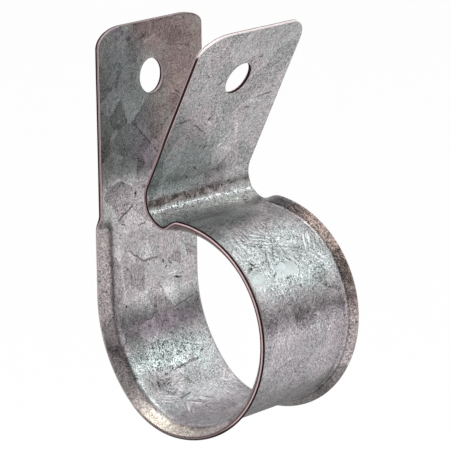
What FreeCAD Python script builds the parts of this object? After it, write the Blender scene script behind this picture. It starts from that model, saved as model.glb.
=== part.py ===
import FreeCAD, Part

import math
import os

# Conduit strap: one strip of galvanised sheet, folded round a conduit.
#
# Frame, in millimetres: the origin is the centre of the loop, half way across the strap.
# +X points away from the wall, +Y runs along the conduit and +Z up towards the screw holes.
# "Near" is the -Y edge of the strip and "far" is the +Y edge.

# ---- sheet ----
SHEET_T = 0.95              # thickness of the sheet
STRAP_W = 33.5              # full width of the strip where it is flat

# ---- loop, seen along the conduit ----
LOOP_R = 20.85              # conduit side of the round part of the loop
LEG_INSET = 1.53            # the wall leg's face lies this far inside the loop's circle
HEEL_TIGHTER = 5.40         # the bend at the bottom is this much tighter than the loop
TOE_LOOSER = 7.55           # the bend up into the wall leg is this much looser than the loop
HEEL_END_DEG = -91.0        # where the bottom bend meets the round part
LOOP_END_DEG = 89.7         # where the round part ends, at the top
CROWN_FLAT = 1.30           # straight run between the loop and the throat bend
THROAT_R = 5.60             # inside radius of the bend at the foot of the tab

# ---- wall leg and tab ----
LEG_RISE = 40.20            # from the loop's crown up to the leg's top edge
TAB_LEAN_DEG = 26.4         # the tab stands open by this much from upright
TAB_LEN = 36.0              # flat length of the tab above the throat bend
HOLE_D = 7.5                # screw hole in the leg and in the tab
HOLE_FROM_TOP = 12.0        # hole centre below the top edge

# ---- rounded corners: size along the top edge, size down the side ----
LEG_NEAR_CORNER = (7.4, 4.2)
LEG_FAR_CORNER = (6.9, 2.8)
TAB_NEAR_CORNER = (8.9, 4.5)
TAB_FAR_CORNER = (4.7, 4.7)

# ---- lips flared away from the conduit, on both edges of the loop ----
LIP_DEG = 40.0              # angle that a lip turns through
NEAR_LIP_W = 3.80           # width of strip turned up, from the start of its bend to the edge
NEAR_LIP_BEND_R = 2.20      # radius of the lip's bend on its concave side
FAR_LIP_W = 3.35
FAR_LIP_BEND_R = 0.90
LEG_LIP_STOP = 3.80         # below the crown's level, where the lips start to die out on the leg
LEG_LIP_FADE = 4.40         # length over which they die out there
NEAR_LIP_STOP = -0.70       # past the loop's end, where the near lip starts to die out
NEAR_LIP_FADE = 4.00
FAR_LIP_STOP = -2.75        # past the loop's end, where the far lip starts to die out
FAR_LIP_FADE = 6.50
FADE_SECTIONS = 7           # cross-sections that shape each run-out

HALF_T = SHEET_T / 2
HALF_W = STRAP_W / 2


# ---- the strip's centre-line, walked from the foot of the leg to the foot of the tab ----
# A run is straight (radius None) or an arc. A positive radius turns towards the conduit and
# a negative one turns away from it. Headings are angles in the XZ plane.

def make_run(start, length, radius):
    x, z, heading = start
    return {"x": x, "z": z, "heading": heading, "length": length, "radius": radius}


def locate(run, distance):
    """Point and heading at a distance along a run."""
    x, z, heading, radius = run["x"], run["z"], run["heading"], run["radius"]
    if radius is None:
        return x + distance * math.cos(heading), z + distance * math.sin(heading), heading
    turned = heading + distance / radius
    x_end = x + radius * (math.sin(turned) - math.sin(heading))
    z_end = z - radius * (math.cos(turned) - math.cos(heading))
    return x_end, z_end, turned


def run_end(run):
    return locate(run, run["length"])


def arc_run(start, radius, end_heading):
    return make_run(start, radius * (end_heading - start[2]), radius)


def centre_line():
    loop_r = LOOP_R + HALF_T
    heel_r = loop_r - HEEL_TIGHTER
    toe_r = loop_r + TOE_LOOSER
    leg_x = -(loop_r - LEG_INSET)
    # the heel's centre lies on the loop's radius at their shared point
    heel_end = math.radians(HEEL_END_DEG)
    heel_x = HEEL_TIGHTER * math.cos(heel_end)
    heel_z = HEEL_TIGHTER * math.sin(heel_end)
    # the toe touches the leg's line and the heel, which fixes the angle where they join
    join = -math.acos((leg_x + toe_r - heel_x) / (heel_r - toe_r))
    toe_z = heel_z + (heel_r - toe_r) * math.sin(join)
    leg_foot = (leg_x, toe_z, math.radians(-90))
    crown_z = loop_r
    leg = make_run((leg_x, crown_z + LEG_RISE, leg_foot[2]), crown_z + LEG_RISE - toe_z, None)
    toe = arc_run(leg_foot, toe_r, join + math.radians(90))
    heel = arc_run(run_end(toe), heel_r, heel_end + math.radians(90))
    loop = arc_run(run_end(heel), loop_r, math.radians(LOOP_END_DEG + 90))
    crown = make_run(run_end(loop), CROWN_FLAT, None)
    throat = arc_run(run_end(crown), -(THROAT_R + HALF_T), math.radians(90 - TAB_LEAN_DEG))
    tab = make_run(run_end(throat), TAB_LEN, None)
    return leg, toe, heel, loop, crown, throat, tab


# ---- cross-sections of the strip ----

def place(station, across, out):
    """A point of a cross-section: across the strip, and out from the conduit."""
    x, z, heading = station
    return FreeCAD.Vector(x + out * math.sin(heading), across, z - out * math.cos(heading))


def lip_outline(side, lip_deg, out):
    """Points of one face of a lip: its bend's start, middle and end, and the strip's edge."""
    lip_w, full_bend_r = (NEAR_LIP_W, NEAR_LIP_BEND_R) if side < 0 else (FAR_LIP_W, FAR_LIP_BEND_R)
    half_flat = HALF_W - lip_w
    bend_len = (full_bend_r + HALF_T) * math.radians(LIP_DEG)
    angle = math.radians(lip_deg)
    bend_r = bend_len / angle
    points = [(side * half_flat, out)]
    for part in (0.5, 1.0):
        turned = angle * part
        across = half_flat + (bend_r - out) * math.sin(turned)
        points.append((side * across, bend_r - (bend_r - out) * math.cos(turned)))
    flat_len = lip_w - bend_len
    across, height = points[-1]
    points.append((across + side * flat_len * math.cos(angle), height + flat_len * math.sin(angle)))
    return points


def section(station, near_deg, far_deg):
    """Closed outline of the strip across its width, with a lip on each edge."""
    edges = []
    faces = []
    for out in (HALF_T, -HALF_T):
        near = [place(station, *point) for point in lip_outline(-1, near_deg, out)]
        far = [place(station, *point) for point in lip_outline(1, far_deg, out)]
        faces.append((near, far))
    (near_top, far_top), (near_bottom, far_bottom) = faces
    for near, far in faces:
        edges.append(Part.LineSegment(near[3], near[2]).toShape())
        edges.append(Part.Arc(near[2], near[1], near[0]).toShape())
        edges.append(Part.LineSegment(near[0], far[0]).toShape())
        edges.append(Part.Arc(far[0], far[1], far[2]).toShape())
        edges.append(Part.LineSegment(far[2], far[3]).toShape())
    edges.append(Part.LineSegment(far_top[3], far_bottom[3]).toShape())
    edges.append(Part.LineSegment(near_bottom[3], near_top[3]).toShape())
    return Part.Wire(Part.__sortEdges__(edges))


def flat_section(station):
    corners = [(-HALF_W, -HALF_T), (HALF_W, -HALF_T), (HALF_W, HALF_T), (-HALF_W, HALF_T)]
    points = [place(station, *corner) for corner in corners]
    return Part.makePolygon(points + points[:1])


def carry(wire, run, start, end):
    """Solid made by carrying a cross-section along part of a run."""
    face = Part.Face(wire)
    x, z, heading = locate(run, start)
    radius = run["radius"]
    if radius is None:
        x_end, z_end, heading = locate(run, end)
        return face.extrude(FreeCAD.Vector(x_end - x, 0, z_end - z))
    centre = FreeCAD.Vector(x - radius * math.sin(heading), 0, z + radius * math.cos(heading))
    turn = math.degrees((end - start) / radius)
    return face.revolve(centre, FreeCAD.Vector(0, -1, 0), turn)


# ---- run-outs of the lips ----

def faded(distance, stop, fade):
    """Lip angle at a distance along the strip: full before the stop, then eased to nothing."""
    part = min(max((distance - stop) / fade, 0), 1)
    ease = part * part * (3 - 2 * part)
    return max(LIP_DEG * (1 - ease), LIP_DEG / 400)


def leg_run_out(leg, full_at):
    """Lips die out up the leg. full_at is where they reach their full angle, from the top."""
    wires = []
    for index in range(FADE_SECTIONS):
        rise = LEG_LIP_FADE * index / (FADE_SECTIONS - 1)
        angle = faded(rise, 0, LEG_LIP_FADE)
        wires.append(section(locate(leg, full_at - rise), angle, angle))
    return Part.makeLoft(wires, True, False)


def crown_run_out(loop, crown, throat, start, end):
    """Lips die out over the crown. Distances are measured past the loop's end."""
    wires = []
    for index in range(2 * FADE_SECTIONS):
        distance = start + (end - start) * index / (2 * FADE_SECTIONS - 1)
        if distance < 0:
            station = locate(loop, loop["length"] + distance)
        elif distance < crown["length"]:
            station = locate(crown, distance)
        else:
            station = locate(throat, distance - crown["length"])
        near_deg = faded(distance, NEAR_LIP_STOP, NEAR_LIP_FADE)
        far_deg = faded(distance, FAR_LIP_STOP, FAR_LIP_FADE)
        wires.append(section(station, near_deg, far_deg))
    return Part.makeLoft(wires, True, False)


# ---- flat ends with their corners and holes ----

def corner_edge(start, corner, end):
    """Quarter of an ellipse between two points of the sides that meet in a corner."""
    curve = Part.BezierCurve()
    curve.setPoles([start, corner, end])
    curve.setWeight(2, math.sqrt(0.5))
    return curve.toShape()


def flat_end(edge_station, length, near_corner, far_corner):
    """Flat end of the strip, drawn on its mid-plane from the top edge down."""
    x, z, up = edge_station

    def spot(across, down):
        return FreeCAD.Vector(x - down * math.cos(up), across, z - down * math.sin(up))

    near_y, near_down = near_corner
    far_y, far_down = far_corner
    near_side = spot(-HALF_W, near_down)
    near_top = spot(-HALF_W + near_y, 0)
    far_top = spot(HALF_W - far_y, 0)
    far_side = spot(HALF_W, far_down)
    edges = [
        Part.LineSegment(spot(-HALF_W, length), near_side).toShape(),
        corner_edge(near_side, spot(-HALF_W, 0), near_top),
        Part.LineSegment(near_top, far_top).toShape(),
        corner_edge(far_top, spot(HALF_W, 0), far_side),
        Part.LineSegment(far_side, spot(HALF_W, length)).toShape(),
        Part.LineSegment(spot(HALF_W, length), spot(-HALF_W, length)).toShape(),
    ]
    normal = FreeCAD.Vector(math.sin(up), 0, -math.cos(up))
    outline = Part.Face(Part.Wire(edges))
    outline.translate(normal * -HALF_T)
    plate = outline.extrude(normal * SHEET_T)
    drill_start = spot(0, HOLE_FROM_TOP) - normal * SHEET_T
    drill = Part.makeCylinder(HOLE_D / 2, 2 * SHEET_T, drill_start, normal)
    return plate.cut(drill)


# ---- the strap ----

def make_strap():
    leg, toe, heel, loop, crown, throat, tab = centre_line()
    leg_full = LEG_RISE + LEG_LIP_STOP
    leg_flat = leg_full - LEG_LIP_FADE
    fade_start = min(NEAR_LIP_STOP, FAR_LIP_STOP)
    fade_end = max(NEAR_LIP_STOP + NEAR_LIP_FADE, FAR_LIP_STOP + FAR_LIP_FADE)
    throat_start = fade_end - crown["length"]

    leg_top = (leg["x"], leg["z"], leg["heading"] + math.pi)
    wall_leg = flat_end(leg_top, leg_flat, LEG_NEAR_CORNER, LEG_FAR_CORNER)
    wall_leg_lips = leg_run_out(leg, leg_full)
    wall_leg_foot = carry(section(locate(leg, leg_full), LIP_DEG, LIP_DEG), leg, leg_full, leg["length"])
    pieces = [wall_leg, wall_leg_lips, wall_leg_foot]
    for run in (toe, heel):
        pieces.append(carry(section(locate(run, 0), LIP_DEG, LIP_DEG), run, 0, run["length"]))
    loop_full = loop["length"] + fade_start
    pieces.append(carry(section(locate(loop, 0), LIP_DEG, LIP_DEG), loop, 0, loop_full))
    pieces.append(crown_run_out(loop, crown, throat, fade_start, fade_end))
    pieces.append(carry(flat_section(locate(throat, throat_start)), throat, throat_start, throat["length"]))
    pieces.append(flat_end(run_end(tab), TAB_LEN, TAB_NEAR_CORNER, TAB_FAR_CORNER))

    strap = pieces[0].fuse(pieces[1:], 0.001)
    return strap.removeSplitter().Solids[0]


os.makedirs("parts", exist_ok=True)
strap = make_strap()
print("strap", strap.ShapeType, strap.isValid(), len(strap.Solids), "solid", round(strap.Volume, 1), "mm3")
strap.exportStep("parts/strap.step")
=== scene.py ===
import math
from types import SimpleNamespace

import bmesh
import bpy
from mathutils import Matrix, Vector, noise


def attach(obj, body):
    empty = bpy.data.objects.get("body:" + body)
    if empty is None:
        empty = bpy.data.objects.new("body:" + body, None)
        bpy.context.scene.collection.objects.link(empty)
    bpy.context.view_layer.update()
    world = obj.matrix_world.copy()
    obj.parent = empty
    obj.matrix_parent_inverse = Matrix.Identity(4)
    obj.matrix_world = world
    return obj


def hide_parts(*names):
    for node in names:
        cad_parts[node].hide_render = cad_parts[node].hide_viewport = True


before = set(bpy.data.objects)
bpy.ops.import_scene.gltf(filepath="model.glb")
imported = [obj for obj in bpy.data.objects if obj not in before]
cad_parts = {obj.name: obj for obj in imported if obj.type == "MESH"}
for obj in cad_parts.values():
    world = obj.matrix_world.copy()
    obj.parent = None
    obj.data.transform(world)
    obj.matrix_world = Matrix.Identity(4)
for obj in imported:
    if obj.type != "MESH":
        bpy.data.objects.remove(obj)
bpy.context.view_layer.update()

MM = 0.001

# ---- sizes of the strap in millimetres, with the solid's own values ----
SHEET_T = 0.95
STRAP_W = 33.5
LOOP_R = 20.85
LEG_INSET = 1.53
HEEL_TIGHTER = 5.40
TOE_LOOSER = 7.55
HEEL_END_DEG = -91.0
LOOP_END_DEG = 89.7
CROWN_FLAT = 1.30
THROAT_R = 5.60
LEG_RISE = 40.20
TAB_LEAN_DEG = 26.4
TAB_LEN = 36.0
HOLE_D = 7.5
HOLE_FROM_TOP = 12.0
LEG_NEAR_CORNER = (7.4, 4.2)
LEG_FAR_CORNER = (6.9, 2.8)
TAB_NEAR_CORNER = (8.9, 4.5)
TAB_FAR_CORNER = (4.7, 4.7)
LIP_DEG = 40.0
NEAR_LIP_W = 3.80
NEAR_LIP_BEND_R = 2.20
FAR_LIP_W = 3.35
FAR_LIP_BEND_R = 0.90
LEG_LIP_STOP = 3.80
LEG_LIP_FADE = 4.40
NEAR_LIP_STOP = -0.70
NEAR_LIP_FADE = 4.00
FAR_LIP_STOP = -2.75
FAR_LIP_FADE = 6.50

# ---- sizes that only the finished sheet has ----
LEG_CELLS = 100             # mesh cells along each stretch of the strip
TOE_CELLS = 64
LOOP_CELLS = 128
THROAT_CELLS = 62
TAB_CELLS = 60
FLAT_CELLS = 56             # mesh cells across the flat middle
BEND_CELLS = 6              # across each lip's bend
LIP_CELLS = 4               # across each lip's straight part
RIM_BEVEL = 0.09            # worn corner of the sheared edge
HOLE_RING = 8               # half the cells along each side of the square drawn to the hole
HOLE_PATCH = 13             # half the cells along the square round it that gives way
RIM_ANGLE = math.radians(60)    # past this, an edge of the sheet is a sheared corner
WAVE = 0.05                 # how far the sheet wanders from true
TIGHT_SHARE = 0.25          # of that, the tighter part
THROAT_WAVE = 0.02          # crinkles where the throat was folded
FOLD_REACH = 7.0            # how far they reach from the middle of the throat
CREASE_DEPTH = 0.12         # sharper line within the throat's bend
CREASE_REACH = 0.50
CREASE_NEAR = 6.3           # past the throat's start, at the near edge and at the far edge
CREASE_FAR = 5.8
CREASE_WANDER = 0.15
BROAD = (0.045, 0.06, 3.1)  # noise waves in a millimetre along and across, and where the noise starts
TIGHT = (0.16, 0.19, 7.7)
CRINKLE = (1.1, 0.55, 1.3)
THROAT_MARGIN = 1.0         # the throat's small cells reach this far past it at both ends
FACE_WEIGHT = 80            # how far the large faces lead the shading
TINY = 1e-4

HALF_T = SHEET_T / 2
HALF_W = STRAP_W / 2
NEAR_FLAT = HALF_W - NEAR_LIP_W
FAR_FLAT = HALF_W - FAR_LIP_W
NEAR_ARC = (NEAR_LIP_BEND_R + HALF_T) * math.radians(LIP_DEG)
FAR_ARC = (FAR_LIP_BEND_R + HALF_T) * math.radians(LIP_DEG)


# ---- the strip's centre-line, walked from the leg's top edge to the tab's ----

def along(run, distance):
    """Point and heading at a distance along a run."""
    x, z, heading, _, radius = run
    if radius is None:
        return x + distance * math.cos(heading), z + distance * math.sin(heading), heading
    turned = heading + distance / radius
    x_there = x + radius * (math.sin(turned) - math.sin(heading))
    z_there = z - radius * (math.cos(turned) - math.cos(heading))
    return x_there, z_there, turned


def centre_line():
    """Runs of (x, z, heading, start, radius), and where the tab ends. Straight runs have no radius."""
    loop_r = LOOP_R + HALF_T
    heel_r = loop_r - HEEL_TIGHTER
    toe_r = loop_r + TOE_LOOSER
    leg_x = LEG_INSET - loop_r
    heel_x = HEEL_TIGHTER * math.cos(math.radians(HEEL_END_DEG))
    heel_z = HEEL_TIGHTER * math.sin(math.radians(HEEL_END_DEG))
    join = -math.acos((leg_x + toe_r - heel_x) / (heel_r - toe_r))
    toe_z = heel_z + (heel_r - toe_r) * math.sin(join)
    leg_top = loop_r + LEG_RISE
    quarter = math.pi / 2
    # a straight run's length and no radius, or the heading that a bend ends at and its radius
    straight_and_bent = (
        (leg_top - toe_z, None),
        (join + quarter, toe_r),
        (math.radians(HEEL_END_DEG) + quarter, heel_r),
        (math.radians(LOOP_END_DEG) + quarter, loop_r),
        (CROWN_FLAT, None),
        (quarter - math.radians(TAB_LEAN_DEG), -(THROAT_R + HALF_T)),
        (TAB_LEN, None),
    )
    runs = []
    station = (leg_x, leg_top, -quarter)
    walked = 0.0
    for size, radius in straight_and_bent:
        length = size if radius is None else radius * (size - station[2])
        run = (*station, walked, radius)
        runs.append(run)
        station = along(run, length)
        walked += length
    return runs, walked


RUNS, STRIP_LEN = centre_line()
TOE, _, LOOP, CROWN, THROAT, TAB = (run[3] for run in RUNS[1:])


def ease(value):
    part = min(max(value, 0.0), 1.0)
    return part * part * (3 - 2 * part)


def lip_turn(s, side):
    """Angle of the lip on one side at a distance along the strip."""
    up = ease((s - LEG_RISE - LEG_LIP_STOP + LEG_LIP_FADE) / LEG_LIP_FADE)
    if side < 0:
        down = ease((s - CROWN - NEAR_LIP_STOP) / NEAR_LIP_FADE)
    else:
        down = ease((s - CROWN - FAR_LIP_STOP) / FAR_LIP_FADE)
    return math.radians(LIP_DEG) * up * (1 - down)


def ripple(s, y, waves):
    along_strip, across, start = waves
    return noise.noise(Vector((s * along_strip, y * across, start)))


def sheet_wave(s, y):
    """Small wander of a formed sheet, so that its reflections aren't ruled lines."""
    crinkle = ripple(s, y, CRINKLE)
    folded = ease(1 - abs(s - (THROAT + TAB) / 2) / FOLD_REACH)
    across = y / STRAP_W + 0.5
    crease = THROAT + CREASE_NEAR + (CREASE_FAR - CREASE_NEAR) * across + CREASE_WANDER * crinkle
    sharp = math.exp(-((s - crease) / CREASE_REACH) ** 2 / 2)
    wander = ripple(s, y, BROAD) + TIGHT_SHARE * ripple(s, y, TIGHT)
    return WAVE * wander + THROAT_WAVE * folded * crinkle - CREASE_DEPTH * sharp


def fold(flat):
    """Place in space of a point of the flat blank: along, across and out through the sheet."""
    s, y, out = flat
    side, half_flat, bend_len = (-1, NEAR_FLAT, NEAR_ARC) if y < 0 else (1, FAR_FLAT, FAR_ARC)
    wide = abs(y)
    angle = lip_turn(s, side)
    height = out
    if wide > half_flat and angle > TINY:
        bend_r = bend_len / angle
        turned = angle * min((wide - half_flat) / bend_len, 1.0)
        straight = max(wide - half_flat - bend_len, 0.0)
        across = half_flat + (bend_r - out) * math.sin(turned) + straight * math.cos(turned)
        height = bend_r - (bend_r - out) * math.cos(turned) + straight * math.sin(turned)
        y = side * across
    height += sheet_wave(s, y)
    run = RUNS[0]
    for following in RUNS[1:]:
        if s > following[3]:
            run = following
    x, z, heading = along(run, s - run[3])
    return MM * Vector((x + height * math.sin(heading), y, z - height * math.cos(heading)))


# ---- the flat blank ----

def spaced(index, stretches):
    """Where a line of the even grid goes, when each stretch has its own number of cells."""
    first = start = 0.0
    for cells, end in stretches:
        if index <= first + cells or (cells, end) == stretches[-1]:
            return start + (end - start) * (index - first) / cells
        first += cells
        start = end


THROAT_TO = TAB + THROAT_MARGIN
ALONG = ((LEG_CELLS, TOE), (TOE_CELLS, LOOP), (LOOP_CELLS, CROWN - THROAT_MARGIN),
         (THROAT_CELLS, THROAT_TO), (TAB_CELLS, STRIP_LEN))
TO_NEAR = ((FLAT_CELLS / 2, NEAR_FLAT), (BEND_CELLS, NEAR_FLAT + NEAR_ARC), (LIP_CELLS, HALF_W))
TO_FAR = ((FLAT_CELLS / 2, FAR_FLAT), (BEND_CELLS, FAR_FLAT + FAR_ARC), (LIP_CELLS, HALF_W))


def round_corner(bm, s_end, side, size):
    """Draws the corner of the blank in to a quarter of an ellipse."""
    across, down = size
    inward = 1 if s_end < STRIP_LEN / 2 else -1
    for v in bm.verts:
        p = (side * v.co.y - (HALF_W - across)) / across
        q = (down - inward * (v.co.x - s_end)) / down
        if p > 0 and q > 0:
            reach = max(p, q) / math.hypot(p, q)
            v.co.y = side * (HALF_W - across + across * p * reach)
            v.co.x = s_end + inward * (down - down * q * reach)


def punch_hole(bm, s_line, s_centre, cell_s):
    """Opens a hole: the grid round it is drawn from a square to the circle."""
    patch_s = HOLE_PATCH * cell_s
    ring = HOLE_RING / HOLE_PATCH
    gone = []
    for v in bm.verts:
        half_flat = NEAR_FLAT if v.co.y < 0 else FAR_FLAT
        patch_y = HOLE_PATCH * half_flat / (FLAT_CELLS / 2)
        p = (v.co.x - s_line) / patch_s
        q = v.co.y / patch_y
        m = max(abs(p), abs(q))
        if m < ring - TINY:
            gone.append(v)
        elif m < 1 - TINY:
            square = Vector((p / m * patch_s, q / m * patch_y))
            circle = Vector((p, q)).normalized() * HOLE_D / 2
            place = circle.lerp(square, (m - ring) / (1 - ring))
            v.co.x = s_centre + place.x
            v.co.y = place.y
    bmesh.ops.delete(bm, geom=gone, context="VERTS")


def draw_blank():
    """The flat blank as a sheet without thickness, with its holes and rounded corners."""
    cells_s = sum(cells for cells, _ in ALONG)
    cells_y = FLAT_CELLS + 2 * (BEND_CELLS + LIP_CELLS)
    bm = bmesh.new()
    bmesh.ops.create_grid(bm, x_segments=cells_s, y_segments=cells_y, size=1)
    for v in bm.verts:
        v.co.x = spaced((v.co.x + 1) / 2 * cells_s, ALONG)
        lines = TO_NEAR if v.co.y < 0 else TO_FAR
        v.co.y = math.copysign(spaced(abs(v.co.y) * cells_y / 2, lines), v.co.y)
    leg_cell = TOE / LEG_CELLS
    tab_cell = (STRIP_LEN - THROAT_TO) / TAB_CELLS
    leg_line = round(HOLE_FROM_TOP / leg_cell) * leg_cell
    tab_line = STRIP_LEN - round(HOLE_FROM_TOP / tab_cell) * tab_cell
    punch_hole(bm, leg_line, HOLE_FROM_TOP, leg_cell)
    punch_hole(bm, tab_line, STRIP_LEN - HOLE_FROM_TOP, tab_cell)
    round_corner(bm, 0.0, -1, LEG_NEAR_CORNER)
    round_corner(bm, 0.0, 1, LEG_FAR_CORNER)
    round_corner(bm, STRIP_LEN, -1, TAB_NEAR_CORNER)
    round_corner(bm, STRIP_LEN, 1, TAB_FAR_CORNER)
    return bm


def build_strap():
    bm = draw_blank()
    bmesh.ops.translate(bm, verts=bm.verts, vec=(0, 0, -HALF_T))
    raised = bmesh.ops.extrude_face_region(bm, geom=bm.faces[:])["geom"]
    top = [v for v in raised if isinstance(v, bmesh.types.BMVert)]
    bmesh.ops.translate(bm, verts=top, vec=(0, 0, SHEET_T))
    rims = [e for e in bm.edges if e.calc_face_angle(0) > RIM_ANGLE]
    bmesh.ops.bevel(bm, geom=rims, offset=RIM_BEVEL, offset_type="OFFSET", segments=2,
                    profile=0.5, affect="EDGES", material=-1, clamp_overlap=True)
    sheet = bm.verts.layers.float_vector.new("sheet")
    for v in bm.verts:
        v[sheet] = v.co
        v.co = fold(v.co)
    bmesh.ops.recalc_face_normals(bm, faces=bm.faces)
    for face in bm.faces:
        face.smooth = True
    mesh = bpy.data.meshes.new("strap_sheet")
    bm.to_mesh(mesh)
    bm.free()
    piece = bpy.data.objects.new("strap_sheet", mesh)
    bpy.context.scene.collection.objects.link(piece)
    weighted = piece.modifiers.new("even_shading", "WEIGHTED_NORMAL")
    weighted.weight = FACE_WEIGHT
    return piece


# ---- nodes ----

def add(tree, kind, inputs=None, **settings):
    """A new node. inputs maps socket names or numbers to values or to other sockets."""
    node = tree.nodes.new(kind)
    for name, value in settings.items():
        setattr(node, name, value)
    for key, value in (inputs or {}).items():
        if isinstance(value, bpy.types.NodeSocket):
            tree.links.new(value, node.inputs[key])
        else:
            node.inputs[key].default_value = value
    return node


def calc(tree, operation, a, b=0.0, c=0.0):
    return add(tree, "ShaderNodeMath", {0: a, 1: b, 2: c}, operation=operation).outputs[0]


def total(tree, *terms, start=0.0):
    """Sum of value sockets, each given as (socket, factor), and of a start."""
    result = start
    for socket, factor in terms:
        result = calc(tree, "MULTIPLY_ADD", socket, factor, result)
    return result


def times(tree, *factors):
    result = factors[0]
    for factor in factors[1:]:
        result = calc(tree, "MULTIPLY", result, factor)
    return result


def most(tree, result, *others):
    """Largest of the values."""
    for other in others:
        result = calc(tree, "MAXIMUM", result, other)
    return result


def step(tree, value, low, high, to_low=0.0, to_high=1.0):
    """Smooth step of a value between two limits."""
    inputs = {"Value": value, "From Min": low, "From Max": high, "To Min": to_low, "To Max": to_high}
    return add(tree, "ShaderNodeMapRange", inputs, interpolation_type="SMOOTHSTEP").outputs["Result"]


def from_to(tree, mask, outside, inside):
    """One value outside a mask, and another inside it."""
    return step(tree, mask, 0, 1, outside, inside)


def band(tree, value, limits):
    """1 within a soft band, given by where it starts, is full, fades and ends."""
    start, full, fading, end = limits
    return times(tree, step(tree, value, start, full), step(tree, value, fading, end, 1, 0))


def move(tree, operation, a, b=(0, 0, 0)):
    """Vector arithmetic."""
    return add(tree, "ShaderNodeVectorMath", {0: a, 1: b}, operation=operation).outputs["Vector"]


def scaled(tree, vector, factor):
    inputs = {0: vector, "Scale": factor}
    return add(tree, "ShaderNodeVectorMath", inputs, operation="SCALE").outputs["Vector"]


def blend(tree, factor, a, b, mode="MIX"):
    """Mixes two colours."""
    inputs = {0: factor, 6: a, 7: b}
    return add(tree, "ShaderNodeMix", inputs, data_type="RGBA", blend_type=mode).outputs[2]


def grain_noise(tree, vector, scale, detail=2.0, rough=0.5, twist=0.0):
    inputs = {"Vector": vector, "Scale": scale, "Detail": detail, "Roughness": rough,
              "Distortion": twist}
    return add(tree, "ShaderNodeTexNoise", inputs, noise_dimensions="3D").outputs


def grey(value):
    return (value, value, value, 1.0)


def empty_material(name):
    material = bpy.data.materials.new(name)
    material.use_nodes = True
    material.node_tree.nodes.clear()
    return material


def new_group(name, inputs, outputs):
    """An empty node group. Returns its tree, its inputs to read and its outputs to fill."""
    tree = bpy.data.node_groups.new(name, "ShaderNodeTree")
    for in_out, sockets in (("INPUT", inputs), ("OUTPUT", outputs)):
        for socket_name, kind in sockets.items():
            tree.interface.new_socket(name=socket_name, in_out=in_out, socket_type=f"NodeSocket{kind}")
    source = tree.nodes.new("NodeGroupInput").outputs
    sink = tree.nodes.new("NodeGroupOutput").inputs

    def fill(**results):
        for socket_name, result in results.items():
            tree.links.new(result, sink[socket_name])

    return tree, source, fill


def use_group(tree, group, inputs):
    return add(tree, "ShaderNodeGroup", inputs, node_tree=group).outputs


# ---- finish: hot-dip zinc on the sheet, with painted light and shade ----

CRYSTAL = 6.0               # width of a zinc crystal
NEAR_LIP_TINT = 13.9        # where the lips' tint starts, from the strip's middle
FAR_LIP_TINT = 14.5
FACE_GAP = 40.0             # how far the pattern of each face lies from the sheet's middle
PIPE_SIDE = -1              # the face towards the conduit
OUTER_SIDE = 1

# Soft steps along the strip: where each starts and where it is complete
DULL_LEG_ENDS = (33.5, 36.5)
GRIT_GROWS = (70, 84)
LIP_EDGE_DARKENS = (78, 88)
LIPS_RUST = (118, 138)
TAB_EDGE_WEARS = (180, 188)
TAB_TOP_STARTS = (STRIP_LEN - 5.0, STRIP_LEN - 3.6)

# Soft bands along the strip: where each starts, is full, fades and ends
LIPS_ALONG = (LEG_RISE, LEG_RISE + 5, CROWN - 1, CROWN + 3)
LIP_BOTTOM = (80, 88, 104, 110)
# smooth patch on the loop, painted near white: partly smoother zinc, partly a painted highlight
RUBBED_SHEEN_ALONG = (138.2, 138.8, 141.0, 141.6)
THROAT_SHADE = (160.0, 162.0, 166.2, 167.0)
# painted highlight along the throat's fold
THROAT_RIDGE = (166.2, 167.2, 167.4, 167.9)
THROAT_CRIMP = (167.9, 168.5, 169.4, 170.4)
THROAT_SKEW = 0.018         # the throat's lines run a little askew

# Soft bands across the strip
# across the smooth patch, partly a painted highlight
RUBBED_SHEEN_ACROSS = (-5.0, -4.2, 1.8, 2.6)
FAR_LIP_GLINT = (13.6, 14.0, 14.4, 14.6)
FAR_LIP_CREASE = (14.30, 14.45, 14.70, 14.90)

# Soft bands through the sheet, from -1 at the conduit's side to 1 at the outer side
RIM_DEPTH = (-0.97, -0.9, 0.9, 0.97)
BURR_DEPTH = (-0.75, -0.6, -0.42, -0.27)

# Scratches, specks and dents: (centre along, centre across, half length, half width, turn in degrees)
OUTER_SPECKS = (
    (188.4, -4.8, 0.38, 0.30, 40), (181.4, -4.2, 0.30, 0.24, 0), (172.9, 13.2, 0.26, 0.26, 0),
    (175.9, 9.2, 0.28, 0.22, 0), (164.0, 11.6, 0.34, 0.20, 50), (165.2, 12.4, 0.30, 0.20, 80),
    (163.0, 10.8, 0.26, 0.20, 90), (169.2, 7.4, 0.30, 0.20, 20), (169.8, 9.6, 0.26, 0.26, 0),
    (142.2, -10.9, 0.40, 0.30, 60), (143.1, -9.9, 0.36, 0.22, -30),
)
PIPE_SPECKS = (
    (60.8, -9.8, 0.30, 0.26, 0), (36.7, -6.1, 0.34, 0.24, 0), (42.6, -10.4, 0.30, 0.22, 60),
    (53.0, 2.6, 0.36, 0.30, 0), (54.4, 3.6, 0.40, 0.18, -50), (57.6, 7.2, 0.60, 0.18, 80),
)
OUTER_DARK_MARKS = (
    (175.6, -2.9, 1.1, 0.24, -63), (186.6, -7.4, 2.6, 0.20, -58),
    (189.3, -13.6, 2.8, 0.20, 88), (189.1, 7.3, 1.2, 0.22, -80), (191.5, 11.6, 2.8, 0.20, 86),
    (197.5, -5.7, 1.0, 0.24, 70), (142.0, -11.6, 1.2, 0.30, 60), (142.9, -10.0, 0.9, 0.28, -30),
    (145.4, -1.0, 3.2, 0.16, 40), (145.2, 1.3, 2.4, 0.16, 0), (144.0, -4.6, 2.0, 0.16, 42),
    (129.2, -0.5, 0.25, 1.0, 0), (135.8, 0.8, 0.25, 0.7, 30),
)
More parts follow.
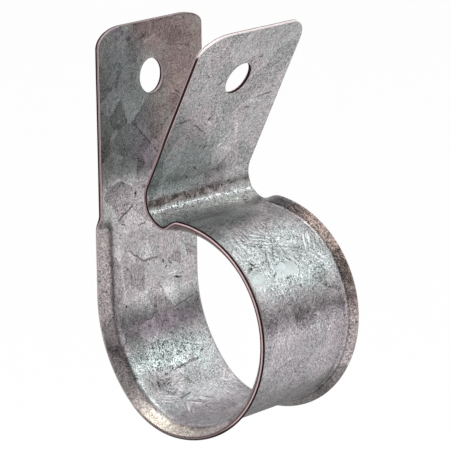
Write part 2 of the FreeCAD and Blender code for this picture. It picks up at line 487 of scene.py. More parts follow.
OUTER_BRIGHT_MARKS = (
    (188.4, -2.4, 1.6, 0.30, 40),
    (187.4, -4.4, 0.8, 0.35, -50), (181.5, 3.5, 2.0, 0.45, 30), (183.5, 6.6, 2.0, 0.40, -25),
    (179.0, 5.6, 0.4, 1.8, 15), (190.4, 9.4, 0.30, 2.6, 10), (199.0, -11.7, 0.25, 0.8, 0),
    (167.6, 4.0, 0.55, 1.5, 0), (168.2, 3.2, 0.4, 0.5, 0), (164.8, 10.4, 0.3, 1.2, 20),
    (166.2, -8.4, 0.7, 0.22, 40), (148.0, 7.4, 0.25, 2.4, 15), (147.4, 3.0, 2.0, 0.25, 60),
    (126.4, 8.6, 2.6, 0.22, 38), (141.6, -8.4, 1.8, 0.22, 8),
)
PIPE_DARK_MARKS = (
    (3.2, -7.2, 0.35, 0.7, 0), (3.4, -3.0, 0.20, 1.2, 10),
    (24.0, -3.4, 3.4, 0.20, 43), (28.8, 1.6, 2.0, 0.22, 46), (16.8, 8.4, 0.8, 0.22, 60),
    (36.6, -6.0, 0.9, 0.40, 0), (35.6, -3.0, 0.4, 0.35, 0), (40.2, -9.0, 3.2, 0.18, -62),
    (43.6, -4.0, 0.20, 1.2, 10),
    (50.4, -6.0, 2.6, 0.20, 56), (51.8, -1.6, 0.20, 2.6, 0), (53.8, 4.8, 0.9, 0.24, 40),
    (57.6, 7.4, 1.4, 0.20, 80), (63.3, 8.5, 3.6, 0.18, -80), (66.0, 1.2, 2.4, 0.16, -40),
    (76.4, 5.4, 0.38, 1.8, 4), (76.9, 0.8, 0.20, 2.8, 6), (80.2, 0.6, 2.0, 0.16, 30),
    (83.8, -3.4, 0.24, 2.0, 8), (86.4, 1.6, 1.6, 0.18, 50),
)
PIPE_BRIGHT_MARKS = (
    (3.9, 0.4, 5.0, 0.20, -74), (14.8, 9.5, 0.20, 1.4, 10), (15.9, 6.6, 1.0, 0.22, 30),
    (20.2, -10.8, 0.20, 0.8, 0), (33.8, -5.6, 0.28, 3.0, -10), (33.0, -12.0, 0.30, 1.6, 15),
    (49.0, -11.8, 2.0, 0.80, 8), (54.6, -10.6, 4.4, 0.36, 8), (50.2, -7.6, 1.6, 0.45, 45),
    (50.0, -2.6, 1.6, 1.5, 0), (60.6, 2.4, 1.6, 2.2, 0), (56.4, 5.6, 0.3, 1.4, 0),
    (65.8, 4.3, 1.3, 1.6, 0), (74.8, -9.0, 1.4, 3.2, 0), (75.6, 1.0, 0.9, 3.0, 0),
    (86.0, -1.0, 1.6, 0.28, 52), (84.9, -3.0, 0.22, 1.8, 8), (84.8, 8.4, 3.6, 0.22, 62),
    (82.8, -12.6, 1.8, 0.45, 0), (87.6, -6.0, 0.22, 1.6, 30),
)

# Areas with a colour or a grain of their own, and areas of painted light and shade: (face, centre, reach)
AREAS = {
    "leg_hole": (PIPE_SIDE, (HOLE_FROM_TOP, 0), (6, 6)),
    "tab_hole": (OUTER_SIDE, (STRIP_LEN - HOLE_FROM_TOP, 0), (6, 6)),
    "red_top": (PIPE_SIDE, (2, 1), (7, 10)),
    "green_leg": (PIPE_SIDE, (16, -10), (18, 12)),
    "purple_toe": (PIPE_SIDE, (66.5, 2), (3, 18)),
    "pitted": (PIPE_SIDE, (73, 0), (5, 15)),
    "ferny_toe": (PIPE_SIDE, (83, 0), (9, 18)),
    # lighter cream zinc on the near lip, widened by a painted highlight
    "cream_lip_and_highlight": (PIPE_SIDE, (90, -16), (11, 6)),
    "calm_toe": (PIPE_SIDE, (94, 2), (15, 24)),
    # painted light: the inside of the loop's bottom lighter, standing in for light bounced within the loop
    "toe_painted_light": (PIPE_SIDE, (102, 0), (15, 40)),
    "low_loop": (OUTER_SIDE, (121, 0), (16, 40)),
    # smooth patch, partly a painted highlight
    "rubbed_edge": (OUTER_SIDE, (139.4, -10.8), (2.2, 3.4)),
    "clear_loop": (OUTER_SIDE, (142, 0), (10, 20)),
    "glint": (OUTER_SIDE, (144, 14), (10, 6)),
    "ferny_loop": (OUTER_SIDE, (147, 0), (14, 22)),
    # painted shade: the far lip's end by the crown, next to the tab
    "lip_painted_shade": (OUTER_SIDE, (158.5, 16), (8, 6)),
    # painted shade: the crown next to the tab
    "crown_painted_shade": (OUTER_SIDE, (160, -6), (6, 13)),
    "dark_foot": (OUTER_SIDE, (176, -7), (11, 14)),
}
RED_CRYSTALS = (PIPE_SIDE, (13, 10), (26, 13))

# How light the zinc is within an area, where 1 leaves it as it is. The lighter inner toe, the throat's ridge
# and the far lip's glint are painted light, and the throat's darker band is painted shade
LIGHTNESS = (
    ("dull_leg", 0.97), ("red_leg", 0.86), ("green_leg", 1.06), ("toe_painted_light", 1.45), ("ridge_highlight", 1.15),
    ("throat_shade", 0.76), ("specks", 0.12), ("dark_marks", 0.45), ("bright_marks", 1.35),
    ("crease_glint", 1.5), ("crease_line", 0.58),
)

# Colours of the finish, and of painted shade and highlight
COOL_ZINC = (0.350, 0.356, 0.353, 1)
WARM_ZINC = (0.388, 0.353, 0.365, 1)
DULL_GREEN = (0.335, 0.365, 0.335, 1)
DULL_PURPLE = (0.375, 0.33, 0.375, 1)
LIP_DUST = (0.37, 0.325, 0.33, 1)
LIP_PALE = (0.43, 0.38, 0.38, 1)
LIP_RUST = (0.20, 0.145, 0.13, 1)
LIP_RUST_PALE = (0.44, 0.345, 0.31, 1)
# cream of the near lip, partly a painted highlight
LIP_CREAM_AND_HIGHLIGHT = (0.44, 0.40, 0.35, 1)
# painted shade on the far lip by the crown
LIP_SHADE = (0.17, 0.16, 0.165, 1)
BARE_DARK = (0.48, 0.30, 0.32, 1)
BARE_PALE = (0.90, 0.72, 0.74, 1)
HOLE_WALL = (0.66, 0.64, 0.64, 1)
TAB_TOP_EDGE = (1.0, 0.92, 0.92, 1)
# dark reddish line along the near lip's edge, by its rim
LIP_EDGE_DARK_RED = (0.09, 0.045, 0.05, 1)
FRACTURE = (0.02, 0.012, 0.013, 1)
BURR = (0.07, 0.035, 0.04, 1)

# Tints laid over the zinc in turn: (area, strength, colour)
TINTS = (
    ("red_leg", 0.75, (0.41, 0.29, 0.275, 1)),
    # greenish cast of painted shade: on the crown, at the tab's foot and on the leg's top under the tab
    ("painted_shade_green", 0.8, (0.328, 0.36, 0.357, 1)),
    ("crimp", 0.7, (0.40, 0.335, 0.315, 1)),
    ("throat_shade", 0.5, (0.36, 0.36, 0.335, 1)),
    ("purple_toe", 0.7, (0.38, 0.32, 0.37, 1)),
    ("lilac", 1.0, (0.385, 0.352, 0.38, 1)),
    # cyan cast of fresh spangle, partly the painted colour of the highlights on the bright zones
    ("fresh_and_sheen", 0.7, (0.335, 0.365, 0.36, 1)),
)

# Lighter and darker patches of the zinc, some of them painted light and shade: (face, centre, reach, how
# light)
PATCHES = (
    # the next four darker patches are painted shade on the underside of the loop's bottom
    (OUTER_SIDE, (109, 0), (8, 26), 0.85), (OUTER_SIDE, (111, 16), (6, 5), 0.50),
    (OUTER_SIDE, (100, 0), (10, 40), 0.70), (OUTER_SIDE, (103, 16), (8, 4), 0.55),
    (OUTER_SIDE, (129.5, 2.5), (3.5, 5), 1.16), (OUTER_SIDE, (127.5, 0), (3, 24), 1.20),
    (OUTER_SIDE, (134.5, 13), (5, 5), 1.18),
    (OUTER_SIDE, (143.5, 5.5), (2, 2.5), 0.72), (OUTER_SIDE, (142, 0), (10, 20), 1.05),
    (OUTER_SIDE, (148, -2), (3, 9), 1.10), (OUTER_SIDE, (147.2, 16.5), (5.5, 4), 0.74),
    # (160, -6) darker: painted shade on the crown, next to the tab
    (OUTER_SIDE, (140, 16.5), (4, 3), 1.25), (OUTER_SIDE, (160, -6), (6, 13), 0.80),
    # (161, 16.5) darker: painted shade on the far lip by the crown
    (OUTER_SIDE, (161, 16.5), (4, 4), 0.80), (OUTER_SIDE, (170, 0), (3, 24), 0.88),
    # (174, -8) and (176, -7) lighter: painted light at the tab's foot, lifting its shade
    (OUTER_SIDE, (174, -8), (6, 12), 1.20), (OUTER_SIDE, (176, -7), (11, 14), 1.12),
    (OUTER_SIDE, (208, 6), (5, 10), 0.86), (OUTER_SIDE, (208, -14), (6, 6), 1.15),
    (PIPE_SIDE, (4.5, 7.5), (2, 4), 0.72), (PIPE_SIDE, (21, -11), (9, 10), 1.28),
    (PIPE_SIDE, (38, 0), (9, 24), 1.32), (PIPE_SIDE, (39, -9), (7, 7), 1.15),
    (PIPE_SIDE, (53, 0), (12, 24), 1.22), (PIPE_SIDE, (61, 0), (3, 20), 1.3),
    (PIPE_SIDE, (61.5, 0), (5, 9), 1.28), (PIPE_SIDE, (66.5, 2), (3, 18), 0.88),
    (PIPE_SIDE, (69.5, 7), (4, 7), 0.84), (PIPE_SIDE, (73, -16), (8, 4), 0.70),
    (PIPE_SIDE, (73.5, -13), (6, 1.8), 1.45), (PIPE_SIDE, (79.4, -7.5), (1.6, 5), 0.72),
    # the next four lighter patches are painted light: light bounced inside the loop's bottom and along its
    # near lip, with the near lip's highlight
    (PIPE_SIDE, (90, -13.4), (16, 1.2), 1.5), (PIPE_SIDE, (91, 4), (8, 9), 1.28),
    (PIPE_SIDE, (93.5, -16), (5, 3), 1.18), (PIPE_SIDE, (108, -15), (9, 6), 1.6),
    (PIPE_SIDE, (12, -5.5), (12, 4.5), 0.84), (OUTER_SIDE, (116, -13), (5, 8), 0.82),
)


def jitter(tree, vector, scale, reach, detail=2.0):
    """The vector, moved about by noise."""
    drift = grain_noise(tree, vector, scale, detail=detail, rough=0.6)["Color"]
    drift = scaled(tree, move(tree, "SUBTRACT", drift, (0.5, 0.5, 0.5)), reach)
    return move(tree, "ADD", vector, drift)


def spangle_group():
    """Zinc crystals: a shade, tint and tilt for each, their seams, and their ferns' bright and dark barbs."""
    tree, given, fill = new_group(
        "zinc_spangle", {"Vector": "Vector", "Size": "Float"},
        {"Shade": "Float", "Tint": "Float", "Bright": "Float", "Dark": "Float",
         "Hatch": "Float", "Seam": "Float", "Tilt": "Vector"})
    place = jitter(tree, given["Vector"], 0.5, 0.8, detail=3.0)
    scale = calc(tree, "DIVIDE", 1.0, given["Size"])
    crystal = add(tree, "ShaderNodeTexVoronoi", {"Vector": place, "Scale": scale}).outputs
    chance = add(tree, "ShaderNodeSeparateColor", {0: crystal["Color"]}).outputs
    edge = add(tree, "ShaderNodeTexVoronoi", {"Vector": place, "Scale": scale},
               feature="DISTANCE_TO_EDGE").outputs["Distance"]

    # each crystal has axes of its own, and its barbs run back from a spine
    local = move(tree, "SUBTRACT", given["Vector"], crystal["Position"])
    turn = calc(tree, "MULTIPLY", chance["Red"], math.tau)
    local = add(tree, "ShaderNodeVectorRotate", {"Vector": local, "Angle": turn},
                rotation_type="Z_AXIS").outputs["Vector"]
    axes = add(tree, "ShaderNodeSeparateXYZ", {0: local}).outputs
    from_spine = calc(tree, "ABSOLUTE", axes["Y"])
    barb = calc(tree, "MULTIPLY_ADD", from_spine, -0.9, axes["X"])
    inputs = {"X": calc(tree, "MULTIPLY", barb, 2.7), "Y": calc(tree, "MULTIPLY", from_spine, 0.24),
              "Z": calc(tree, "MULTIPLY", chance["Green"], 60.0)}
    stroke = add(tree, "ShaderNodeCombineXYZ", inputs).outputs[0]
    fern = grain_noise(tree, stroke, 1.0, detail=1.5, rough=0.5)["Fac"]
    bent = move(tree, "MULTIPLY", jitter(tree, local, 0.35, 1.2, detail=1.0), (3.6, 0.75, 1.0))
    brushed = grain_noise(tree, bent, 1.0, detail=2.0, rough=0.6)["Fac"]

    # ferns have grown further on some crystals than on others
    grown = step(tree, chance["Blue"], 0.25, 0.75, 0.25, 1.0)
    bright = times(tree, step(tree, fern, 0.54, 0.68), grown)
    dark = times(tree, step(tree, fern, 0.46, 0.34), grown)
    tilt = scaled(tree, move(tree, "SUBTRACT", crystal["Color"], (0.5, 0.5, 0.5)), 2.0)
    fill(Shade=chance["Green"], Tint=chance["Blue"], Seam=step(tree, edge, 0.0, 0.035, 1.0, 0.0),
         Hatch=step(tree, brushed, 0.30, 0.70), Tilt=tilt, Bright=bright, Dark=dark)
    return tree


def mottle_group():
    """Fine grain of the zinc: soft blotches, a crisp speckle and a sandy grit."""
    tree, given, fill = new_group(
        "zinc_mottle", {"Vector": "Vector"}, {"Blotch": "Float", "Speckle": "Float", "Grit": "Float"})
    blotch = grain_noise(tree, given["Vector"], 0.55, detail=3.0, rough=0.6, twist=0.4)["Fac"]
    speckle = grain_noise(tree, given["Vector"], 1.5, detail=3.0, rough=0.75)["Fac"]
    grit = grain_noise(tree, given["Vector"], 3.0, detail=1.0, rough=0.5)["Fac"]
    fill(Blotch=step(tree, blotch, 0.32, 0.68), Speckle=step(tree, speckle, 0.30, 0.70),
         Grit=step(tree, grit, 0.28, 0.72))
    return tree


def pit_group():
    """Pits and specks of dross, as many as Share lets through."""
    tree, given, fill = new_group(
        "zinc_pits", {"Vector": "Vector", "Share": "Float"}, {"Pit": "Float"})
    place = jitter(tree, given["Vector"], 1.4, 1.4)
    speck = add(tree, "ShaderNodeTexVoronoi", {"Vector": place, "Scale": 1.1}).outputs
    chance = add(tree, "ShaderNodeSeparateColor", {0: speck["Color"]}).outputs
    reach = calc(tree, "MULTIPLY_ADD", chance["Green"], 0.22, 0.14)
    inside = calc(tree, "GREATER_THAN", reach, speck["Distance"])
    chosen = calc(tree, "GREATER_THAN", given["Share"], chance["Red"])
    fill(Pit=times(tree, inside, chosen))
    return tree


def crackle_group():
    """Wandering hair lines, dark ones and bright ones apart."""
    tree, given, fill = new_group(
        "zinc_crackle", {"Vector": "Vector", "Scale": "Float"}, {"Dark": "Float", "Bright": "Float"})
    results = []
    for shift in (0.0, 17.0):
        place = move(tree, "ADD", given["Vector"], (shift, shift, 0))
        course = grain_noise(tree, place, given["Scale"], detail=2.0, rough=0.6, twist=0.8)["Fac"]
        away = calc(tree, "ABSOLUTE", calc(tree, "SUBTRACT", course, 0.5))
        broken = grain_noise(tree, place, 0.5, detail=1.0)["Fac"]
        results.append(times(tree, step(tree, away, 0.0, 0.03, 1.0, 0.0), step(tree, broken, 0.45, 0.6)))
    fill(Dark=results[0], Bright=results[1])
    return tree


def patch_group():
    """A soft-edged patch on the flat blank: 1 in its middle, 0 past its reach."""
    tree, given, fill = new_group(
        "zinc_patch", {"Vector": "Vector", "Ragged": "Float", "Centre": "Vector", "Reach": "Vector"},
        {"Mask": "Float"})
    offset = move(tree, "SUBTRACT", given["Vector"], given["Centre"])
    offset = move(tree, "DIVIDE", offset, given["Reach"])
    away = add(tree, "ShaderNodeVectorMath", {0: offset}, operation="LENGTH").outputs["Value"]
    away = calc(tree, "MULTIPLY_ADD", given["Ragged"], 0.9, away)
    fill(Mask=step(tree, away, 0.8, 1.6, 1.0, 0.0))
    return tree


def mark_group():
    """One stroke on the flat blank: 1 on its line, 0 past its size."""
    tree, given, fill = new_group(
        "zinc_mark", {"Vector": "Vector", "Centre": "Vector", "Turn": "Float", "Size": "Vector"},
        {"Mask": "Float"})
    offset = move(tree, "SUBTRACT", given["Vector"], given["Centre"])
    offset = add(tree, "ShaderNodeVectorRotate", {"Vector": offset, "Angle": given["Turn"]},
                 rotation_type="Z_AXIS", invert=True).outputs["Vector"]
    offset = move(tree, "DIVIDE", offset, given["Size"])
    away = add(tree, "ShaderNodeVectorMath", {0: offset}, operation="LENGTH").outputs["Value"]
    fill(Mask=step(tree, away, 0.8, 1.4, 1.0, 0.0))
    return tree


def finish_textures(tree):
    """Where each spot lies on the flat blank, and the zinc's textures there."""
    blank = add(tree, "ShaderNodeAttribute", attribute_name="sheet").outputs["Vector"]
    at = add(tree, "ShaderNodeSeparateXYZ", {0: blank}).outputs
    depth = calc(tree, "DIVIDE", at["Z"], HALF_T)
    face = calc(tree, "MULTIPLY", depth, FACE_GAP)
    spot = add(tree, "ShaderNodeCombineXYZ", {"X": at["X"], "Y": at["Y"], "Z": face}).outputs[0]
    return SimpleNamespace(
        along=at["X"],
        across=at["Y"],
        depth=depth,
        spot=spot,
        wavering=jitter(tree, spot, 0.8, 0.9),
        ragged=grain_noise(tree, spot, 0.30, detail=3.0, rough=0.6)["Fac"],
        crystals=use_group(tree, spangle_group(), {"Vector": spot, "Size": CRYSTAL}),
        fine=use_group(tree, mottle_group(), {"Vector": spot}),
        hairs=use_group(tree, crackle_group(), {"Vector": spot, "Scale": 0.8}),
        patch=patch_group(),
        mark=mark_group(),
    )


def stain(tree, sheet, side, centre, reach, where=None):
    """Mask of a soft-edged area of one face."""
    inputs = {"Vector": sheet.spot if where is None else where, "Ragged": sheet.ragged,
              "Centre": (*centre, side * FACE_GAP), "Reach": (*reach, FACE_GAP)}
    return use_group(tree, sheet.patch, inputs)["Mask"]


def strokes(tree, sheet, outer_marks, pipe_marks):
    """Mask of the marks of both faces."""
    found = 0.0
    for side, marks in ((OUTER_SIDE, outer_marks), (PIPE_SIDE, pipe_marks)):
        for along_strip, across, length, width, turn in marks:
            inputs = {"Vector": sheet.wavering, "Centre": (along_strip, across, side * FACE_GAP),
                      "Turn": math.radians(turn), "Size": (length, width, FACE_GAP)}
            found = calc(tree, "MAXIMUM", use_group(tree, sheet.mark, inputs)["Mask"], found)
    return found


def face_masks(tree, sheet, mask):
    """Adds the masks of the leg, the toe, the loop and the throat."""
    border = calc(tree, "MULTIPLY_ADD", sheet.ragged, 6.0, sheet.along)
    crystal = {"Vector": jitter(tree, sheet.spot, 0.5, 0.8, detail=3.0), "Scale": 1 / CRYSTAL}
    crystal = add(tree, "ShaderNodeTexVoronoi", crystal).outputs["Position"]
    worn = add(tree, "ShaderNodeSeparateXYZ", {0: sheet.wavering}).outputs
    skew = calc(tree, "MULTIPLY_ADD", sheet.across, THROAT_SKEW, sheet.along)
    outer = step(tree, sheet.depth, -0.2, 0.2)
    mask["outer"] = outer
    mask["dull_leg"] = times(tree, step(tree, sheet.depth, 0.2, -0.2),
                             step(tree, border, *DULL_LEG_ENDS, 1, 0))
    mask["red_leg"] = most(tree, stain(tree, sheet, *RED_CRYSTALS, crystal), mask["red_top"])
    # smooth patches painted near white: partly smoother zinc, partly a painted highlight
    mask["rubbed"] = times(tree, band(tree, worn["X"], RUBBED_SHEEN_ALONG), band(tree, worn["Y"], RUBBED_SHEEN_ACROSS),
                           outer)
    mask["smooth"] = most(tree, mask["rubbed"], mask["rubbed_edge"])
    mask["ferny"] = most(tree, mask["ferny_loop"], mask["ferny_toe"])
    mask["crimp"] = times(tree, band(tree, skew, THROAT_CRIMP), outer,
                          step(tree, sheet.across, 3, 10, 1.0, 0.3))
    mask["throat_shade"] = times(tree, band(tree, skew, THROAT_SHADE), outer)
    # painted highlight along the throat's fold
    mask["ridge_highlight"] = times(tree, band(tree, skew, THROAT_RIDGE), outer)
    # where the greenish cast of painted shade goes
    mask["painted_shade_green"] = most(tree, mask["crown_painted_shade"], mask["dark_foot"], mask["green_leg"])
    mask["lilac"] = most(tree, times(tree, mask["calm_toe"], 0.6), times(tree, mask["low_loop"], 0.55))
    # cyan cast of fresh spangle, partly painted highlight colour
    mask["fresh_and_sheen"] = most(tree, mask["clear_loop"], mask["pitted"])
    mask["lively"] = most(tree, mask["pitted"], times(tree, mask["ridge_highlight"], 0.8),
                          times(tree, mask["clear_loop"], 0.4))
    mask["specks"] = strokes(tree, sheet, OUTER_SPECKS, PIPE_SPECKS)
    mask["dark_marks"] = strokes(tree, sheet, OUTER_DARK_MARKS, PIPE_DARK_MARKS)
    mask["bright_marks"] = strokes(tree, sheet, OUTER_BRIGHT_MARKS, PIPE_BRIGHT_MARKS)


def edge_masks(tree, sheet, mask):
    """Adds the masks of the lips and of the sheared edge all round."""
    on_loop = band(tree, sheet.along, LIPS_ALONG)
    near_lip = times(tree, step(tree, sheet.across, 0.6 - NEAR_LIP_TINT, -0.6 - NEAR_LIP_TINT), on_loop)
    far_lip = times(tree, step(tree, sheet.across, FAR_LIP_TINT - 0.2, FAR_LIP_TINT + 0.2), on_loop)
    mask["lips"] = most(tree, near_lip, far_lip)
    mask["crease_line"] = times(tree, band(tree, sheet.across, FAR_LIP_CREASE), on_loop, mask["outer"])
    mask["crease_glint"] = times(tree, mask["glint"], band(tree, sheet.across, FAR_LIP_GLINT))
    # the painted light inside the loop, kept mostly off the near lip
    mask["toe_painted_light"] = times(tree, mask["toe_painted_light"], from_to(tree, near_lip, 1, 0.3))
    mask["lip_edge"] = times(tree, near_lip, step(tree, sheet.along, *LIP_EDGE_DARKENS),
                             step(tree, sheet.depth, -0.55, -0.75),
                             step(tree, sheet.across, 0.42 - HALF_W, 0.24 - HALF_W))

    rim = band(tree, sheet.depth, RIM_DEPTH)
    mask["rim"] = rim
    mask["holes"] = most(tree, mask["leg_hole"], mask["tab_hole"])
    mask["tab_top"] = step(tree, sheet.along, *TAB_TOP_STARTS)
    up_tab = step(tree, sheet.along, *TAB_EDGE_WEARS)
    lip_bottom = times(tree, near_lip, band(tree, sheet.along, LIP_BOTTOM))
    torn_from = total(tree, (on_loop, 0.2), (mask["holes"], 0.7), (up_tab, -0.38), (mask["tab_top"], 1.1),
                      (mask["tab_hole"], 0.5), (lip_bottom, -0.45), start=-0.12)
    worn_corner = times(tree, up_tab, step(tree, sheet.depth, 0.60, 0.75))
    mask["fracture"] = times(tree, rim, step(tree, calc(tree, "SUBTRACT", sheet.depth, torn_from), -0.1, 0.1),
                             from_to(tree, worn_corner, 1, 0))
    burr_depth = calc(tree, "MULTIPLY_ADD", on_loop, 0.18, sheet.depth)
    mask["burr"] = times(tree, rim, band(tree, burr_depth, BURR_DEPTH))


def zinc_tone(tree, sheet, mask):
    """How light the zinc is at each spot, painted light and shade included."""
    crystals, fine, lively = sheet.crystals, sheet.fine, mask["lively"]
    sandy = total(tree, (fine["Speckle"], 0.50), (fine["Grit"], 0.60), (crystals["Hatch"], 0.50), start=-0.80)
    sandy = times(tree, sandy, from_to(tree, lively, 0.95, 1.8),
                  step(tree, sheet.along, *GRIT_GROWS, 1.0, 1.2),
                  from_to(tree, mask["calm_toe"], 1.0, 0.55), from_to(tree, mask["dull_leg"], 1.0, 0.8),
                  from_to(tree, mask["smooth"], 1.0, 0.3))
    blotchy = times(tree, calc(tree, "ADD", fine["Blotch"], -0.5), from_to(tree, lively, 0.20, 0.55))
    shade = times(tree, crystals["Shade"], from_to(tree, mask["dull_leg"], 1.0, 0.35))
    barbs = from_to(tree, mask["ferny"], 0.35, 1.3)
    bright_barbs = times(tree, crystals["Bright"], barbs)
    dark_barbs = times(tree, crystals["Dark"], barbs)
    dark_hairs = times(tree, sheet.hairs["Dark"], from_to(tree, lively, 0.35, 1.3))
    bright_hairs = times(tree, sheet.hairs["Bright"], from_to(tree, lively, 0.15, 1.0))
    tone = total(tree, (shade, 0.38), (sandy, 1.0), (blotchy, 1.0), (bright_barbs, 0.65), (dark_barbs, -0.45),
                 (crystals["Seam"], -0.20), (dark_hairs, -0.6), (bright_hairs, 0.8), start=0.92)
    for side, centre, reach, light in PATCHES:
        tone = times(tree, tone, from_to(tree, stain(tree, sheet, side, centre, reach), 1.0, light))
    # smooth patches painted near white: partly a painted highlight
    tone = times(tree, tone, from_to(tree, mask["smooth"], 1.0, 0.2))
    tone = calc(tree, "MULTIPLY_ADD", mask["smooth"], 1.2, tone)
    for name, light in LIGHTNESS:
        tone = times(tree, tone, from_to(tree, mask[name], 1.0, light))
    crushed = step(tree, fine["Blotch"], 0.3, 0.7, 0.35, 0.8)
    return times(tree, tone, from_to(tree, mask["crimp"], 1.0, crushed), from_to(tree, mask["pit"], 1.0, 0.4))


def zinc_colour(tree, sheet, mask):
    """Colour of the zinc and of the dusty lips, with painted shade and highlight tints, before it is made
    lighter or darker.
    """
    speckle = sheet.fine["Speckle"]
    warm = total(tree, (sheet.crystals["Tint"], 0.5), (sheet.fine["Blotch"], 0.25), (speckle, 0.25))
    colour = blend(tree, step(tree, warm, 0.25, 0.75), COOL_ZINC, WARM_ZINC)
    dull = blend(tree, step(tree, sheet.crystals["Tint"], 0.35, 0.65), DULL_GREEN, DULL_PURPLE)
    colour = blend(tree, times(tree, mask["dull_leg"], 0.7), colour, dull)
    for name, strength, tint in TINTS:
        colour = blend(tree, times(tree, mask[name], strength), colour, tint)
    dusty = blend(tree, speckle, LIP_DUST, LIP_PALE)
    rusty = blend(tree, speckle, LIP_RUST, LIP_RUST_PALE)
    lip = blend(tree, step(tree, sheet.along, *LIPS_RUST), dusty, rusty)
    # lighter cream zinc with a painted highlight on the near lip
    lip = blend(tree, mask["cream_lip_and_highlight"], lip, LIP_CREAM_AND_HIGHLIGHT)
    # painted shade on the far lip by the crown
    lip = blend(tree, mask["lip_painted_shade"], lip, LIP_SHADE)
    return blend(tree, times(tree, mask["lips"], 0.9), colour, lip)


def bare_edge(tree, sheet, mask, colour):
    """The colour, with the bare steel of the sheared edge laid over it."""
    bare = blend(tree, sheet.fine["Speckle"], BARE_DARK, BARE_PALE)
    bare = blend(tree, mask["holes"], bare, HOLE_WALL)
    bare = blend(tree, times(tree, mask["tab_top"], 0.8), bare, TAB_TOP_EDGE)
    colour = blend(tree, mask["rim"], colour, bare)
    colour = blend(tree, times(tree, mask["lip_edge"], 0.8), colour, LIP_EDGE_DARK_RED)
    colour = blend(tree, mask["fracture"], colour, FRACTURE)
    return blend(tree, times(tree, mask["burr"], 0.9), colour, BURR)


def zinc_normal(tree, sheet, mask):
    """Tilt of each crystal, and the fine relief of the finish."""
    fine = sheet.fine
    height = total(tree, (fine["Blotch"], 0.012), (fine["Speckle"], 0.011), (fine["Grit"], 0.004),
                   (sheet.crystals["Bright"], 0.008), (mask["pit"], -0.03),
                   (sheet.hairs["Dark"], -0.01), (mask["dark_marks"], -0.02), (mask["bright_marks"], 0.01))
    facing = add(tree, "ShaderNodeNewGeometry").outputs["Normal"]
    tilt = scaled(tree, sheet.crystals["Tilt"], 0.06)
    tilted = move(tree, "NORMALIZE", move(tree, "ADD", facing, tilt))
    inputs = {"Height": height, "Distance": MM, "Strength": 1.0, "Normal": tilted}
    return add(tree, "ShaderNodeBump", inputs).outputs[0]


def zinc_material():
    material = empty_material("galvanised_sheet")
    tree = material.node_tree
    sheet = finish_textures(tree)
    mask = {name: stain(tree, sheet, *area) for name, area in AREAS.items()}
    face_masks(tree, sheet, mask)
    edge_masks(tree, sheet, mask)
    share = total(tree, (mask["pitted"], 0.5), (mask["crimp"], 0.6), start=0.04)
    mask["pit"] = use_group(tree, pit_group(), {"Vector": sheet.spot, "Share": share})["Pit"]
    colour = blend(tree, 1.0, zinc_colour(tree, sheet, mask), zinc_tone(tree, sheet, mask), "MULTIPLY")
    rough = total(tree, (sheet.fine["Blotch"], 0.08), (mask["lips"], 0.03), (mask["rim"], 0.12),
                  (sheet.crystals["Shade"], 0.06), start=0.24)
    inputs = {"Base Color": bare_edge(tree, sheet, mask, colour), "Metallic": 1.0, "Roughness": rough,
              "Normal": zinc_normal(tree, sheet, mask)}
    shader = add(tree, "ShaderNodeBsdfPrincipled", inputs)
    add(tree, "ShaderNodeOutputMaterial", {"Surface": shader.outputs[0]})
    return material


# ---- stage ----

CAMERA_AZIMUTH = math.radians(39.6)
CAMERA_ELEVATION = math.radians(13.24)
CAMERA_ROLL = math.radians(-0.79)
CAMERA_DISTANCE = 0.6783
CAMERA_TARGET = Vector((0.0003, 0.0, 0.0196))
CAMERA_LENS = 257.8
CAMERA_SENSOR = 36.0
FLOOR_Z = -0.25
FLOOR_SIZE = 4
FLOOR_GREY = 0.95
FLOOR_WHITE = 0.9           # share of plain white in the floor, where it is seen
WORLD_LIGHT = 0.85

# Lamps: (name, azimuth, elevation, distance, size, brightness, colour)
SOFTBOXES = (
    ("softbox_right", 58, 26.5, 1.3, (0.42, 0.30), 1.6, (0.82, 1.0, 0.99)),
    ("softbox_back", 86, 42, 1.3, (0.50, 0.22), 1.3, (0.82, 1.0, 0.99)),
    ("softbox_top", -110, 79, 1.3, (1.0, 0.90), 2.0, (1.0, 0.99, 0.96)),
)
# Boards: (name, azimuth, elevation, distance, size, how grey)
BOARDS = (
    ("dark_board_right", 49.5, 1, 1.2, (1.3, 0.26), 0.03),
    ("dark_board_back", 126, 24, 1.2, (0.5, 0.5), 0.35),
    ("grey_board_front", -33, 22, 1.2, (0.95, 0.86), 0.12),
    ("grey_board_low", 125, -32, 0.3, (0.30, 0.32), 0.36),
)


def build_camera():
    az, el, roll = CAMERA_AZIMUTH, CAMERA_ELEVATION, CAMERA_ROLL
    back = Vector((math.sin(az) * math.cos(el), -math.cos(az) * math.cos(el), math.sin(el)))
    right = Vector((math.cos(az), math.sin(az), 0.0))
    up = back.cross(right)
    tilted_right = right * math.cos(roll) + up * math.sin(roll)
    tilted_up = up * math.cos(roll) - right * math.sin(roll)
    data = bpy.data.cameras.new("camera")
    data.sensor_width = CAMERA_SENSOR
    data.lens = CAMERA_LENS
    camera = bpy.data.objects.new("camera", data)
    turn = Matrix((tilted_right, tilted_up, back)).transposed().to_4x4()
    camera.matrix_world = Matrix.Translation(CAMERA_TARGET + back * CAMERA_DISTANCE) @ turn
    bpy.context.scene.collection.objects.link(camera)
    bpy.context.scene.camera = camera


def seen_as_background(tree):
    """1 for the rays that show the background: seen directly, mirrored or through glass."""
    path = add(tree, "ShaderNodeLightPath")
    mirrored = calc(tree, "MAXIMUM", path.outputs["Is Camera Ray"], path.outputs["Is Glossy Ray"])
    return calc(tree, "MAXIMUM", mirrored, path.outputs["Is Transmission Ray"])


def direction(azimuth_deg, elevation_deg):
    """Unit vector; the azimuth is measured from +X towards +Y."""
    az, el = math.radians(azimuth_deg), math.radians(elevation_deg)
    return Vector((math.cos(az) * math.cos(el), math.sin(az) * math.cos(el), math.sin(el)))


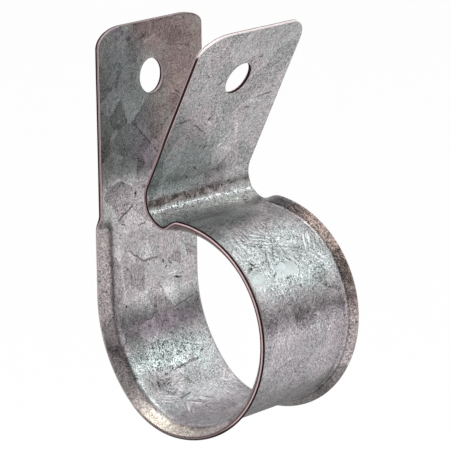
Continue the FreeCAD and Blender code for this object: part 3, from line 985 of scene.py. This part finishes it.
def softbox(name, azimuth, elevation, distance, size, brightness, colour):
    """Rectangular lamp that faces the strap. Brightness 1 mirrors as plain white."""
    data = bpy.data.lights.new(name, "AREA")
    data.shape = "RECTANGLE"
    data.size, data.size_y = size
    data.energy = brightness * math.pi * size[0] * size[1]
    data.color = colour
    lamp = bpy.data.objects.new(name, data)
    away = direction(azimuth, elevation)
    lamp.location = CAMERA_TARGET + away * distance
    lamp.rotation_euler = away.to_track_quat("Z", "Y").to_euler()
    lamp.visible_camera = False
    bpy.context.scene.collection.objects.link(lamp)


def stage_mesh(name, bm, material):
    mesh = bpy.data.meshes.new(name)
    bm.to_mesh(mesh)
    bm.free()
    mesh.materials.append(material)
    piece = bpy.data.objects.new(name, mesh)
    bpy.context.scene.collection.objects.link(piece)
    return piece


def diffuse(tree, value):
    return add(tree, "ShaderNodeBsdfDiffuse", {"Color": grey(value)}).outputs[0]


def board(name, azimuth, elevation, distance, size, value):
    """Board off to one side, which the metal mirrors as a darker band."""
    material = empty_material(name)
    tree = material.node_tree
    add(tree, "ShaderNodeOutputMaterial", {"Surface": diffuse(tree, value)})
    bm = bmesh.new()
    bmesh.ops.create_grid(bm, x_segments=1, y_segments=1, size=0.5)
    bmesh.ops.scale(bm, verts=bm.verts, vec=(size[0], size[1], 1))
    away = direction(azimuth, elevation)
    turn = away.to_track_quat("Z", "Y").to_matrix().to_4x4()
    place = Matrix.Translation(CAMERA_TARGET + away * distance) @ turn
    bmesh.ops.transform(bm, verts=bm.verts, matrix=place)
    piece = stage_mesh(name, bm, material)
    piece.visible_camera = False
    piece.visible_shadow = False
    piece.visible_diffuse = False


def build_world():
    world = bpy.data.worlds.new("studio")
    bpy.context.scene.world = world
    world.use_nodes = True
    tree = world.node_tree
    tree.nodes.clear()
    strength = calc(tree, "MULTIPLY_ADD", seen_as_background(tree), 1 - WORLD_LIGHT, WORLD_LIGHT)
    shade = add(tree, "ShaderNodeBackground", {"Color": grey(1.0), "Strength": strength})
    add(tree, "ShaderNodeOutputWorld", {"Surface": shade.outputs[0]})


def build_floor():
    material = empty_material("pale_floor")
    tree = material.node_tree
    white = add(tree, "ShaderNodeEmission", {"Color": grey(1.0), "Strength": 1.0})
    share = calc(tree, "MULTIPLY", seen_as_background(tree), FLOOR_WHITE)
    inputs = {0: share, 1: diffuse(tree, FLOOR_GREY), 2: white.outputs[0]}
    mixed = add(tree, "ShaderNodeMixShader", inputs)
    add(tree, "ShaderNodeOutputMaterial", {"Surface": mixed.outputs[0]})
    bm = bmesh.new()
    bmesh.ops.create_grid(bm, x_segments=1, y_segments=1, size=FLOOR_SIZE)
    bmesh.ops.translate(bm, verts=bm.verts, vec=(0, 0, FLOOR_Z))
    stage_mesh("floor", bm, material)


def build_stage():
    bpy.context.scene.view_settings.view_transform = "Standard"
    build_world()
    build_floor()
    for lamp in SOFTBOXES:
        softbox(*lamp)
    for panel in BOARDS:
        board(*panel)


build_camera()
build_stage()
strap = build_strap()
strap.data.materials.append(zinc_material())
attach(strap, "root")
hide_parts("strap")
